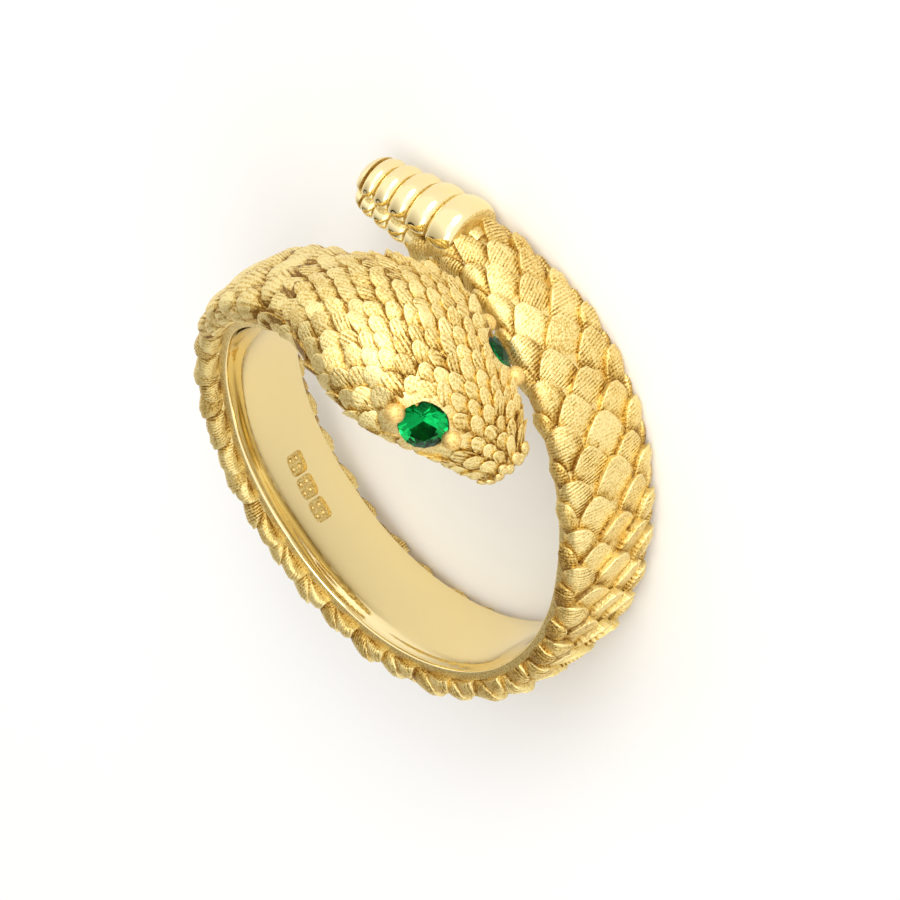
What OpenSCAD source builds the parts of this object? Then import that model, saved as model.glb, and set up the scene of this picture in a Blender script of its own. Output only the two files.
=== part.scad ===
// Wrap ring in the form of a rattlesnake, cast in gold, with two round stones for eyes.
// The ring is described standing: turn 0 is the top, turns grow from the head over the
// neck, down one side, through the back of the ring and up to the tail, and the finger
// hole runs along Y. At the end it is laid on its side, the way it rests on a table.

/* [Finger hole] */
// Diameter of the finger hole
bore_d = 17.3; // [15:0.1:20]

/* [Body] */
// Width of the body at the back of the ring
body_w = 5; // [4:0.1:6]
// Thickness of the body at the back of the ring
body_t = 2; // [1.7:0.1:2.6]
// Height of the plain strip beside the edge of the finger hole
rim_h = 0.55; // [0.4:0.05:0.7]
// Sideways step from the back of the ring to the middle of the head
head_step = 3.4; // [3:0.1:4.5]
// Sideways step from the back of the ring to the middle of the tail
tail_step = 2.9; // [2.6:0.1:4]

/* [Scales] */
// Scales side by side over the body
body_scales = 4; // [3:1:4]
// Step from one row of body scales to the next
body_row = 0.88; // [0.8:0.02:1.2]
// Scales side by side over the head
head_scales = 12; // [8:2:12]
// Step from one row of head scales to the next
head_row = 0.54; // [0.5:0.02:0.9]
// Height of the free end of a body scale over the next one
body_lift = 0.26; // [0.1:0.02:0.34]
// Height of the free end of a head scale over the next one
head_lift = 0.14; // [0.06:0.02:0.2]
// Height of the keel along a body scale
keel_h = 0.06; // [0:0.02:0.2]

/* [Head] */
// Length of the head from the snout to the nape, along its middle
head_l = 12.8; // [11:0.1:14]
// Width of the head at the jaws
head_w = 7.6; // [6.6:0.1:8.4]
// Height of the head over the finger hole
head_h = 3.6; // [3.2:0.1:4.2]
// Turn of the nape, from the top of the ring toward the neck
nape_turn = 18; // [14:1:24]
// Height of the brow ridge over each eye
brow_h = 0.22; // [0:0.02:0.3]

/* [Eyes] */
// Diameter of each eye stone
stone_d = 1.95; // [1.6:0.05:2.2]
// Diameter of the gold beads that hold each stone
claw_d = 0.95; // [0.7:0.05:1.1]
// Room between a stone and the gold round it
stone_gap = 0.04; // [0.02:0.01:0.08]
// Depth of the stone's girdle under the skin of the head
stone_sink = 0.12; // [0:0.02:0.3]

/* [Rattle] */
// Length of the rattle from its collar to its tip
rattle_l = 5.9; // [5:0.1:6.6]
// Diameter of the first segment of the rattle
rattle_d = 3.6; // [3:0.1:3.9]
// Diameter of the last segment of the rattle
rattle_tip_d = 2.5; // [1.8:0.1:2.8]
// Segments of the rattle, with its tip
rattle_segments = 6; // [4:1:7]
// Length of each segment as a share of the one nearer to the collar
rattle_growth = 0.86; // [0.76:0.02:0.98]
// Depth of the grooves between the segments and along both sides of the rattle
rattle_groove = 0.3; // [0.1:0.05:0.4]
// Depth to which the collar is sunk into the finger side of the tail
rattle_sink = 0.5; // [0.3:0.05:0.8]
// Angle at which the rattle rises from the tail
rattle_rise = 5; // [1:0.5:7]
// Angle at which the rattle turns toward the head
rattle_swing = 2; // [0:0.5:4]

/* [Marks] */
// Length of one sunk mark frame inside the band
mark_l = 1.05; // [0.8:0.05:1.4]
// Width of the mark frames
mark_w = 0.9; // [0.7:0.05:1.1]
// Depth of the mark frames
mark_depth = 0.12; // [0.08:0.02:0.2]

/* [Rest] */
// Angle of the finger hole to the upright when the ring lies on its side
rest_tilt = 5.8; // [4:0.1:8]
// Angle by which the lying ring leans across the line from its back to its head
rest_lean = -0.6; // [-3:0.1:3]

/* [Hidden] */

$fn = 96;
bore_r = bore_d / 2;
stone_r = stone_d / 2;

// Tail end of the scaled body, just short of a full turn
tail_turn = 360;
// Radius at which lengths along the head are measured
head_r = bore_r + head_h / 2;
head_turns = head_l / head_r * 180 / PI;
snout_turn = nape_turn - head_turns;
// Turns over which the sections are blended, so that the skin has no kinks
blend_turns = 4;

// One row for each section of the head, from the snout to the nape.
// place: share of head_l; side: share of head_step; foot: half width at the finger hole,
// rim: half width over the plain strip, flank: greatest half width, all shares of head_w;
// flank_h: height of the flank, crest: height of the crown, both shares of head_h;
// full: roundness, 2 for an ellipse and more for a boxier section; yaw: angle by which the
// far side of the section lies back toward the neck.
//  place  side   foot   rim    flank  flank_h crest  full yaw
HEAD = [
    [0.000, 0.900, 0.050, 0.080, 0.100, 0.310, 0.480, 2.0, 10],
    [0.017, 0.900, 0.100, 0.130, 0.165, 0.310, 0.560, 2.2, 10],
    [0.066, 0.915, 0.150, 0.180, 0.215, 0.280, 0.640, 2.3, 10],
    [0.138, 0.955, 0.170, 0.210, 0.275, 0.260, 0.725, 2.3, 10],
    [0.224, 1.000, 0.190, 0.235, 0.350, 0.220, 0.825, 2.2, 10],
    [0.310, 1.025, 0.220, 0.275, 0.437, 0.195, 0.905, 2.1, 9],
    [0.425, 1.030, 0.237, 0.303, 0.507, 0.195, 0.965, 2.0, 8],
    [0.569, 1.020, 0.237, 0.303, 0.515, 0.222, 0.990, 2.0, 6],
    [0.713, 1.010, 0.250, 0.303, 0.460, 0.260, 0.930, 2.0, 3],
    [0.842, 1.000, 0.263, 0.285, 0.380, 0.290, 0.820, 2.0, 0],
];
// One row for each section of the body, from the nape to the tail.
// place: share of the turns from the nape to the tail; side: share of head_step where it
// is negative, else of tail_step; foot, rim, flank: half widths as shares of body_w;
// flank_h, crest: shares of body_t; full and yaw as above.
//  place  side    foot   rim   flank  flank_h crest  full yaw
BODY = [
    [0.000, -0.970, 0.400, 0.420, 0.500, 0.525, 1.110, 2.1, -4],
    [0.035, -0.880, 0.400, 0.420, 0.490, 0.550, 0.970, 2.3, -7],
    [0.080, -0.705, 0.400, 0.420, 0.500, 0.550, 0.950, 2.4, -9],
    [0.139, -0.440, 0.400, 0.420, 0.510, 0.525, 0.950, 2.4, -9],
    [0.212, -0.235, 0.400, 0.420, 0.510, 0.550, 0.980, 2.4, -6],
    [0.345, -0.045, 0.420, 0.440, 0.495, 0.500, 0.985, 2.4, -2],
    [0.478,  0.000, 0.440, 0.460, 0.500, 0.500, 0.960, 2.4, 0],
    [0.611,  0.035, 0.440, 0.455, 0.460, 0.500, 0.840, 2.2, -4],
    [0.743,  0.260, 0.420, 0.430, 0.440, 0.500, 0.790, 2.1, -7],
    [0.832,  0.550, 0.390, 0.410, 0.450, 0.550, 0.850, 2.0, -7],
    [0.906,  0.750, 0.340, 0.370, 0.420, 0.600, 0.900, 2.0, -5],
    [0.960,  0.890, 0.250, 0.290, 0.325, 0.680, 0.950, 2.0, -2],
    [1.000,  0.970, 0.180, 0.220, 0.285, 0.720, 1.100, 2.0, 0],
];

// All sections with real sizes: turn, side, foot, rim, flank, flank_h, crest, full, yaw
SECTIONS = concat(
    [for (r = HEAD) [
        snout_turn + r[0] * head_turns, -r[1] * head_step,
        r[2] * head_w, r[3] * head_w, r[4] * head_w, r[5] * head_h, r[6] * head_h, r[7], r[8]]],
    [for (r = BODY) [
        nape_turn + r[0] * (tail_turn - nape_turn), r[1] * (r[1] < 0 ? head_step : tail_step),
        r[2] * body_w, r[3] * body_w, r[4] * body_w, r[5] * body_t, r[6] * body_t, r[7], r[8]]]
);
function column(c) = [for (r = SECTIONS) [r[0], r[c]]];
SIDE = column(1);
FOOT = column(2);
RIM = column(3);
FLANK = column(4);
FLANK_H = column(5);
CREST = column(6);
FULL = column(7);
YAW = column(8);
// Value of one column at a turn, blended over the turns on both sides
function along(table, turn) =
    (lookup(turn - blend_turns, table) + 2 * lookup(turn, table) + lookup(turn + blend_turns, table)) / 4;

// Half of the section: across runs from 0 at the crest to 1 at the edge of the strip.
// It gives the sideways distance, the height and the lean of the skin from the upright.
lower_share = 0.16;
function half_section(across, turn) =
    let (
        rim = along(RIM, turn),
        flank = along(FLANK, turn),
        low = along(FLANK_H, turn),
        rise = along(CREST, turn) - low,
        power = 2 / along(FULL, turn),
        slope = rise / flank,
        even = (1 + sqrt((1 + slope * slope) / 2)) / 2,
        u = min(across / (1 - lower_share), 1),
        a = 90 * (even * u + (1 - even) * pow(u, 4)),
        b = 90 * max(0, (across - 1 + lower_share) / lower_share)
    )
    b == 0
        ? [flank * pow(sin(a), power), low + rise * pow(cos(a), power),
           atan2(sin(a) * rise, cos(a) * flank)]
        : [rim + (flank - rim) * cos(b), low - (low - rim_h) * sin(b), 90];

// Turn at which a point of the section at this turn lies, when it is set aside by a distance
// from the middle: the section turns on its near flank by its yaw
function yawed(turn, aside) =
    turn + tan(along(YAW, turn)) * (aside + along(FLANK, turn)) / head_r * 180 / PI;

// Place of a point of the section at a turn, by its distance to the side of the middle and
// its height over the finger hole
function section_point(turn, aside, height) =
    let (t = yawed(turn, aside), r = bore_r + height)
    [-sin(t) * r, along(SIDE, turn) + aside, cos(t) * r];

// Point of the skin: across runs from -1 at the near strip over the crest to 1 at the far one
function skin(turn, across, lift) =
    let (s = half_section(abs(across), turn), way = across < 0 ? -1 : 1)
    section_point(turn, way * (s[0] + sin(s[2]) * lift), s[1] + cos(s[2]) * lift);

// Rows of scales: each row starts at a turn, and its free ends reach over the next row
columns = 24;
head_pitch = head_row / head_r * 180 / PI;
body_pitch = body_row / (bore_r + body_t / 2) * 180 / PI;
head_rows = round((nape_turn - snout_turn) / head_pitch);
body_rows = round((tail_turn - nape_turn) / body_pitch);
rows = head_rows + body_rows;
function row_turn(i) = i <= head_rows
    ? snout_turn + (nape_turn - snout_turn) * i / head_rows
    : nape_turn + (tail_turn - nape_turn) * (i - head_rows) / body_rows;
function scales_in(i) = i < head_rows ? head_scales : body_scales;
function lift_in(i) = i < head_rows ? head_lift : body_lift;
// 1 in the middle of a scale and 0 at its sides; every other row is shifted by half a scale
function middle_of_scale(i, k) =
    let (u = k / columns * scales_in(i) + (i % 2) / 2, part = u - floor(u))
    1 - pow(abs(2 * part - 1), 1.4);
tip_reach = 0.82;
// Turn of the free edge of row i at column k; the first and the last edge are straight
function edge_turn(i, k) = i <= 0 ? snout_turn : i >= rows ? tail_turn
    : row_turn(i) + (row_turn(i + 1) - row_turn(i)) * tip_reach * middle_of_scale(i - 1, k);

// Brow ridges run from the snout over the eyes
brow_across = 0.46;
brow_wide = 0.07;
brow_from = 0.1;
brow_to = 0.5;
function brow(turn, across) =
    let (
        place = (turn - snout_turn) / head_turns,
        window = max(0, 1 - pow((place - (brow_from + brow_to) / 2) / ((brow_to - brow_from) / 2), 4)),
        d = (abs(across) - brow_across) / brow_wide
    )
    brow_h * window * exp(-d * d);

// Round each eye the scales sink into a nearly smooth pad, and are whole beyond its edge
eye_place = 0.265;
eye_across = 0.555;
eye_turn = snout_turn + eye_place * head_turns;
pad_r = stone_r + claw_d * 0.8;
pad_edge = claw_d * 0.5;
pad_relief = 0.06;
function off_pad(turn, across) =
    let (
        along_head = (turn - eye_turn) * PI / 180 * head_r,
        around = (abs(across) - eye_across) * head_w * 0.6,
        d = norm([along_head, around]) - pad_r
    )
    max(pad_relief, min(1, d / pad_edge));

// Ring of points at the low start or the high free end of row i. The plain strips on both
// sides run on under the surface of the finger hole, which cuts them off.
under = rim_h * 0.9;
function ring_of(i, high) =
    let (
        fade = min(1, min(i, rows - i) / 2),
        mid = row_turn(i + (high ? 1 : 0)),
        foot = along(FOOT, mid),
        end = foot - (along(RIM, mid) - foot) * under / rim_h
    )
    concat(
        [for (k = [0:columns])
            let (
                across = 2 * k / columns - 1,
                turn = edge_turn(high ? i + 1 : i, k),
                keel = i < head_rows ? 0 : keel_h * middle_of_scale(i, k),
                step = off_pad(turn, across) * ((high ? lift_in(i) : 0) - lift_in(i) / 2 + keel)
            )
            skin(turn, across, fade * step + brow(turn, across))],
        [section_point(mid, end, -under),
         section_point(mid, -end, -under)]
    );

// Closed skin through a list of rings with equal numbers of points
module closed_skin(rings) {
    n = len(rings[0]);
    m = len(rings);
    points = concat([for (r = rings) each r],
        [middle_of(rings[0]), middle_of(rings[m - 1])]);
    sides = [for (j = [0:m - 2], k = [0:n - 1])
        let (a = j * n + k, b = j * n + (k + 1) % n, c = a + n, d = b + n)
        each [[a, c, b], [b, c, d]]];
    start = [for (k = [0:n - 1]) [m * n, k, (k + 1) % n]];
    finish = [for (k = [0:n - 1]) [m * n + 1, (m - 1) * n + (k + 1) % n, (m - 1) * n + k]];
    polyhedron(points, concat(sides, start, finish));
}
function middle_of(ring) = [for (c = [0:2]) sum([for (p = ring) p[c]]) / len(ring)];
function sum(list) = [for (i = 0, s = list[0]; i < len(list); i = i + 1, s = s + (i < len(list) ? list[i] : 0)) s][len(list) - 1];

module scaled_body() {
    closed_skin([for (i = [0:rows - 1], high = [false, true]) ring_of(i, high)]);
}

// Turns a child that stands on the skin to the place given by turn, side and height:
// X then runs toward the snout, Y to the far side and Z outward
module on_ring(turn, side, height) {
    rotate([0, -turn, 0])
        translate([0, side, bore_r + height])
            children();
}

// Rattle: rounded segments that grow toward a smooth collar, turned round one axis, with a
// groove along each side
function segment_start(i) =
    rattle_l * (1 - pow(rattle_growth, i)) / (1 - pow(rattle_growth, rattle_segments));
function segment_l(i) = segment_start(i + 1) - segment_start(i);
function segment_r(i) =
    (rattle_d + (rattle_tip_d - rattle_d) * i / (rattle_segments - 1)) / 2;
module rattle() {
    root = rattle_d / 4;
    root_r = rattle_d * 0.3;
    tip = rattle_segments - 1;
    outline = concat(
        [[0, -root], [root_r, -root], [root_r, 0]],
        [for (i = [0:tip - 1], a = [0:30:180])
            [segment_r(i) - rattle_groove * (1 - sin(a)),
             segment_start(i) + segment_l(i) * (1 - cos(a)) / 2]],
        [for (a = [0:15:90])
            [segment_r(tip) * cos(a), rattle_l - segment_l(tip) * (1 - sin(a))]]
    );
    difference() {
        rotate_extrude()
            polygon(outline);
        for (side = [-1, 1])
            on_side(side) side_groove();
    }
}
module on_side(side) {
    mirror([0, side < 0 ? 1 : 0, 0])
        children();
}
// Straight groove with a sharp bottom that follows the taper of the rattle
module side_groove() {
    taper = atan2((rattle_d - rattle_tip_d) / 2, rattle_l);
    edge = rattle_groove * sqrt(2);
    translate([0, rattle_d / 2, 0])
        rotate([taper, 0, 0])
            rotate([0, 0, 45])
                translate([-edge / 2, -edge / 2, 0])
                    cube([edge, edge, rattle_l]);
}
rattle_height = rattle_d / 2 - rattle_sink;
module placed_rattle() {
    on_ring(tail_turn, tail_step, rattle_height)
        rotate([0, 0, rattle_swing])
            rotate([0, rattle_rise - 90, 0])
                rattle();
}

// Eyes: a round cut stone in a seat on each side of the head, between two gold beads
eye_forward = 18;
claw_turn = 15;
eye_skin = half_section(eye_across, eye_turn);
module at_eye(way) {
    aside = way * eye_skin[0];
    on_ring(yawed(eye_turn, aside), along(SIDE, eye_turn) + aside, eye_skin[1])
        rotate([-way * eye_skin[2], 0, along(YAW, eye_turn)])
            rotate([0, eye_forward, 0])
                translate([0, 0, -stone_sink])
                    children();
}
crown_h = 0.16 * stone_d;
pavilion_h = 0.42 * stone_d;
girdle_h = 0.03 * stone_d;
table_r = 0.55 * stone_r;
// Space that a stone takes, grown by a gap
module stone_space(gap) {
    translate([0, 0, girdle_h / 2])
        cylinder(h = crown_h + gap, r1 = stone_r + gap, r2 = table_r + gap);
    translate([0, 0, -girdle_h / 2])
        cylinder(h = girdle_h, r = stone_r + gap);
    translate([0, 0, -girdle_h / 2 - pavilion_h - gap])
        cylinder(h = pavilion_h + gap, r1 = gap, r2 = stone_r + gap);
}
// Open round above the girdle, through the scales and the brow
seat_room = stone_d * 0.26;
module seat_mouth() {
    translate([0, 0, -girdle_h])
        cylinder(h = seat_room + girdle_h, r = stone_r + 2 * stone_gap);
}
claw_reach = stone_r + claw_d * 0.28;
post_d = claw_d * 0.8;
module claws() {
    for (end = [-1, 1])
        translate([end * claw_reach, 0, girdle_h]) {
            sphere(d = claw_d, $fn = 32);
            translate([0, 0, -claw_d])
                cylinder(h = claw_d, d = post_d, $fn = 32);
        }
}

// Round brilliant: a table, star, kite and girdle facets over a girdle, and a pavilion
module brilliant() {
    facets = 8;
    step = 360 / facets;
    star_r = (table_r + stone_r) / 2 * 1.04;
    star_z = girdle_h / 2 + crown_h * 0.52;
    main_r = stone_r * 0.3;
    points = concat(
        [for (i = [0:facets - 1]) cone_point(table_r, i * step, girdle_h / 2 + crown_h)],
        [for (i = [0:facets - 1]) cone_point(star_r, (i + 0.5) * step, star_z)],
        [for (i = [0:2 * facets - 1]) cone_point(stone_r, i * step / 2, girdle_h / 2)],
        [for (i = [0:2 * facets - 1]) cone_point(stone_r, i * step / 2, -girdle_h / 2)],
        [[0, 0, -girdle_h / 2 - pavilion_h]],
        [[0, 0, girdle_h / 2 + crown_h]]
    );
    table = 0;
    star = facets;
    upper = 2 * facets;
    lower = 4 * facets;
    culet = 6 * facets;
    middle = culet + 1;
    faces = [for (i = [0:facets - 1])
        let (
            next = (i + 1) % facets,
            even = 2 * i,
            odd = 2 * i + 1,
            after = (2 * i + 2) % (2 * facets)
        )
        each [
            [middle, table + next, table + i],
            [table + i, table + next, star + i],
            [star + i, upper + even, table + i],
            [table + next, upper + after, star + i],
            [star + i, upper + odd, upper + even],
            [star + i, upper + after, upper + odd],
            [upper + even, upper + odd, lower + odd],
            [upper + even, lower + odd, lower + even],
            [upper + odd, upper + after, lower + after],
            [upper + odd, lower + after, lower + odd],
            [lower + even, lower + odd, culet],
            [lower + odd, lower + after, culet]
        ]];
    polyhedron(points, faces);
}
function cone_point(r, angle, z) = [r * cos(angle), r * sin(angle), z];

// Sunk frames inside the band beside the neck, each with plain raised dots in it
mark_turn = 127;
mark_step = mark_l * 1.1;
dot_d = mark_w * 0.26;
dot_sink = mark_depth * 0.4;
module marks() {
    for (i = [-1:1])
        on_ring(mark_turn + i * mark_step / bore_r * 180 / PI, along(SIDE, mark_turn), 0)
            difference() {
                cube([mark_l, mark_w, 2 * mark_depth], center = true);
                for (x = [-1, 1], y = [-1, 1])
                    translate([x * mark_l / 5, y * mark_w / 5, dot_sink])
                        cylinder(h = mark_depth, d = dot_d, $fn = 24);
            }
}

// The ring lies on its tail and on the back of the band, with the head side up
module laid_down() {
    rotate([0, rest_lean, 0])
        rotate([90 - rest_tilt, 0, 0])
            rotate([0, 0, 180])
                children();
}

module snake_ring() {
    color("gold")
        laid_down()
            difference() {
                union() {
                    difference() {
                        scaled_body();
                        for (way = [-1, 1])
                            at_eye(way) seat_mouth();
                    }
                    placed_rattle();
                    for (way = [-1, 1])
                        at_eye(way)
                            rotate([0, 0, -way * claw_turn])
                                claws();
                }
                for (way = [-1, 1])
                    at_eye(way) stone_space(stone_gap);
                rotate([90, 0, 0])
                    cylinder(h = 4 * body_w, r = bore_r, center = true);
                marks();
            }
}

module eye_stone(way) {
    color("seagreen")
        laid_down()
            at_eye(way)
                brilliant();
}
module eye_stone_near() { eye_stone(-1); }
module eye_stone_far() { eye_stone(1); }

snake_ring();
eye_stone_near();
eye_stone_far();
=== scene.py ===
"""Cast gold snake wrap ring: scaled body and head, polished rattle and finger side, two green stones."""

import math

import bpy
import numpy as np
from mathutils import Matrix, Vector


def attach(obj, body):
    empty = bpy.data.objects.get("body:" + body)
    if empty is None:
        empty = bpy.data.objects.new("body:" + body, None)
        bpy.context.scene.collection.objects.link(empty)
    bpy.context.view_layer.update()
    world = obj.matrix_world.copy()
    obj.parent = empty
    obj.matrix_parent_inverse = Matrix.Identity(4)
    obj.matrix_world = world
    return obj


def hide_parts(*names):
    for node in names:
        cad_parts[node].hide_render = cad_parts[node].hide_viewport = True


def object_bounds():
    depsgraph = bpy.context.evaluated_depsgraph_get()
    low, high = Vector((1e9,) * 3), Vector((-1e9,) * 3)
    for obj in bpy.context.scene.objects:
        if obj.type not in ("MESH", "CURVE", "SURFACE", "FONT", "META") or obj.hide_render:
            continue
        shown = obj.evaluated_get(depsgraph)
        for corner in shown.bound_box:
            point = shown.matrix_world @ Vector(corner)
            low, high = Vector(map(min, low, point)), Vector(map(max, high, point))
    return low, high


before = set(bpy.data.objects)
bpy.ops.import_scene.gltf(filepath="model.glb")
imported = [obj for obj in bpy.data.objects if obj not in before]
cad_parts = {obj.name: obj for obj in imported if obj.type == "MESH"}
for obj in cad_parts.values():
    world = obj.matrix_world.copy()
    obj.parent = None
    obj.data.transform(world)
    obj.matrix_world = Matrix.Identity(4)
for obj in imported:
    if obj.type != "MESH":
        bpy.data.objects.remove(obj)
CAD_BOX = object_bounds()

bl_info = {
    "name": "Snake wrap ring",
    "version": (1, 0, 0),
    "blender": (4, 5, 0),
    "location": "View3D > Sidebar > Snake ring",
    "description": "Models a cast gold snake ring with cut stones for eyes, on a pale floor",
    "category": "Add Mesh",
}

MM = 0.001
FLOOR_LEVEL = CAD_BOX[0][2]

# Sizes in millimetres, as the solids have them. The ring is described standing: turn 0 is the
# top, turns grow from the head over the neck and down one side to the tail, the bore runs
# along Y.
BORE_R = 8.65
BODY_W, BODY_T, RIM_H = 5.0, 2.0, 0.55
HEAD_STEP, TAIL_STEP = 3.4, 2.9
HEAD_L, HEAD_W, HEAD_H = 12.8, 7.6, 3.6
HEAD_R = BORE_R + HEAD_H / 2
NAPE_TURN, TAIL_TURN = 18.0, 360.0
SNOUT_TURN = NAPE_TURN - math.degrees(HEAD_L / HEAD_R)
STONE_D, CLAW_D = 1.95, 0.95
STONE_R = STONE_D / 2
RATTLE_L, RATTLE_D, RATTLE_TIP_D = 5.9, 3.6, 2.5
REST_TILT, REST_LEAN = 5.8, -0.6

# The head's sections from the snout to the nape. A row says where its section is, how far its
# middle stands aside, the half widths of its foot, rim and flank, the heights of its flank and
# crest, how full its curve is, and its yaw in degrees. Lengths are shares of the head's.
HEAD = np.array([
    [0.000, 0.900, 0.050, 0.080, 0.100, 0.310, 0.480, 2.0, 10],
    [0.017, 0.900, 0.100, 0.130, 0.165, 0.310, 0.560, 2.2, 10],
    [0.066, 0.915, 0.150, 0.180, 0.215, 0.280, 0.640, 2.3, 10],
    [0.138, 0.955, 0.170, 0.210, 0.275, 0.260, 0.725, 2.3, 10],
    [0.224, 1.000, 0.190, 0.235, 0.350, 0.220, 0.825, 2.2, 10],
    [0.310, 1.025, 0.220, 0.275, 0.437, 0.195, 0.905, 2.1, 9],
    [0.425, 1.030, 0.237, 0.303, 0.507, 0.195, 0.965, 2.0, 8],
    [0.569, 1.020, 0.237, 0.303, 0.515, 0.222, 0.990, 2.0, 6],
    [0.713, 1.010, 0.250, 0.303, 0.460, 0.260, 0.930, 2.0, 3],
    [0.842, 1.000, 0.263, 0.285, 0.380, 0.290, 0.820, 2.0, 0],
])
# The body's sections from the nape to the tail, in the same columns as shares of its sizes
BODY = np.array([
    [0.000, -0.970, 0.400, 0.420, 0.500, 0.525, 1.110, 2.1, -4],
    [0.035, -0.880, 0.400, 0.420, 0.490, 0.550, 0.970, 2.3, -7],
    [0.080, -0.705, 0.400, 0.420, 0.500, 0.550, 0.950, 2.4, -9],
    [0.139, -0.440, 0.400, 0.420, 0.510, 0.525, 0.950, 2.4, -9],
    [0.212, -0.235, 0.400, 0.420, 0.510, 0.550, 0.980, 2.4, -6],
    [0.345, -0.045, 0.420, 0.440, 0.495, 0.500, 0.985, 2.4, -2],
    [0.478, 0.000, 0.440, 0.460, 0.500, 0.500, 0.960, 2.4, 0],
    [0.611, 0.035, 0.440, 0.455, 0.460, 0.500, 0.840, 2.2, -4],
    [0.743, 0.260, 0.420, 0.430, 0.440, 0.500, 0.790, 2.1, -7],
    [0.832, 0.550, 0.390, 0.410, 0.450, 0.550, 0.850, 2.0, -7],
    [0.906, 0.750, 0.340, 0.370, 0.420, 0.600, 0.900, 2.0, -5],
    [0.960, 0.890, 0.250, 0.290, 0.325, 0.680, 0.950, 2.0, -2],
    [1.000, 0.970, 0.180, 0.220, 0.285, 0.720, 1.100, 2.0, 0],
])
COLUMNS = ("turn", "side", "foot", "rim", "flank", "flank_h", "crest", "full", "yaw")


def real_sections():
    """The sections with real sizes, from the snout to the tail."""
    head, body = HEAD.copy(), BODY.copy()
    head[:, 0] = SNOUT_TURN + head[:, 0] * (NAPE_TURN - SNOUT_TURN)
    head[:, 1] *= -HEAD_STEP
    head[:, 2:5] *= HEAD_W
    head[:, 5:7] *= HEAD_H
    body[:, 0] = NAPE_TURN + body[:, 0] * (TAIL_TURN - NAPE_TURN)
    body[:, 1] *= np.where(body[:, 1] < 0, HEAD_STEP, TAIL_STEP)
    body[:, 2:5] *= BODY_W
    body[:, 5:7] *= BODY_T
    return np.vstack([head, body])


SECTIONS = real_sections()

# Degrees over which sections are blended, and the part of the way from the crest to the strip
# that curves in below the flank
BLEND_TURNS = 4.0
LOWER_SHARE = 0.16


def along(name, turn):
    """Value of one column at these turns, blended over the turns on both sides."""
    column = SECTIONS[:, COLUMNS.index(name)]
    before = np.interp(turn - BLEND_TURNS, SECTIONS[:, 0], column)
    after = np.interp(turn + BLEND_TURNS, SECTIONS[:, 0], column)
    return (before + 2 * np.interp(turn, SECTIONS[:, 0], column) + after) / 4


def half_section(across, turn):
    """Sideways distance, height and lean of the skin, from the crest at 0 to the strip at 1."""
    rim, flank, low = along("rim", turn), along("flank", turn), along("flank_h", turn)
    rise = along("crest", turn) - low
    power = 2 / along("full", turn)
    # Steps across stay about even, also where the section is flatter than it is wide
    even = (1 + np.sqrt((1 + (rise / flank) ** 2) / 2)) / 2
    u = np.minimum(across / (1 - LOWER_SHARE), 1)
    a = np.radians(90 * (even * u + (1 - even) * u**4))
    b = np.radians(90 * np.clip((across - 1 + LOWER_SHARE) / LOWER_SHARE, 0, 1))
    sine, cosine = np.clip(np.sin(a), 0, 1), np.clip(np.cos(a), 0, 1)
    upper = across <= 1 - LOWER_SHARE
    aside = np.where(upper, flank * sine**power, rim + (flank - rim) * np.cos(b))
    height = np.where(upper, low + rise * cosine**power, low - (low - RIM_H) * np.sin(b))
    lean = np.where(upper, np.arctan2(sine * rise, cosine * flank), math.pi / 2)
    return aside, height, lean


def section_point(turn, aside, height):
    """Points of the sections at these turns, in millimetres on the standing ring."""
    back = np.tan(np.radians(along("yaw", turn))) * (aside + along("flank", turn)) / HEAD_R
    t = np.radians(turn) + back
    r = BORE_R + height
    return np.stack([-np.sin(t) * r, along("side", turn) + aside, np.cos(t) * r], axis=-1)


def skin(turn, across, lift):
    """Points of the skin: across runs from -1 at the near strip to 1 at the far one."""
    aside, height, lean = half_section(np.abs(across), turn)
    way = np.where(across < 0, -1.0, 1.0)
    return section_point(turn, way * (aside + np.sin(lean) * lift), height + np.cos(lean) * lift)


def rotation(degrees, axis):
    """Matrix that turns by these degrees about an axis."""
    return Matrix.Rotation(math.radians(degrees), 4, axis)


LAID = rotation(REST_LEAN, "Y") @ rotation(90 - REST_TILT, "X") @ rotation(180, "Z")
LAID_TURN = np.array(LAID.to_3x3())


def laid_down(points):
    """Points of the standing ring in millimetres, moved to where the ring lies, in metres."""
    return np.asarray(points) @ LAID_TURN.T * MM


# Brows and eyes. Across is a share of the way from the crest to the strip, and from, to and
# place are shares of the head from the snout. Heights and sinks are in millimetres, and the
# stones' turn forward and the claws' turn round them in degrees.
BROW_ACROSS, BROW_WIDE, BROW_FROM, BROW_TO, BROW_H = 0.46, 0.07, 0.1, 0.5, 0.22
EYE_ACROSS, EYE_PLACE = 0.555, 0.265
EYE_TURN = SNOUT_TURN + EYE_PLACE * (NAPE_TURN - SNOUT_TURN)
EYE_FORWARD, STONE_SINK, CLAW_TURN = 18, 0.12, 15
# Length of the head's skin from the crest to the strip, as a share of the head's width
HALF_SKIN = 0.6


def brow(turn, across):
    """Height of the ridges that run from the snout over the eyes."""
    place = (turn - SNOUT_TURN) / (NAPE_TURN - SNOUT_TURN)
    window = 1 - ((place - (BROW_FROM + BROW_TO) / 2) / ((BROW_TO - BROW_FROM) / 2)) ** 4
    return BROW_H * np.maximum(0, window) * np.exp(-(((np.abs(across) - BROW_ACROSS) / BROW_WIDE) ** 2))


def from_eye(turn, across):
    """Distance from the middle of the nearer eye, over the skin."""
    ahead = np.radians(turn - EYE_TURN) * HEAD_R
    around = (np.abs(across) - EYE_ACROSS) * HEAD_W * HALF_SKIN
    return np.hypot(ahead, around)


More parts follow.
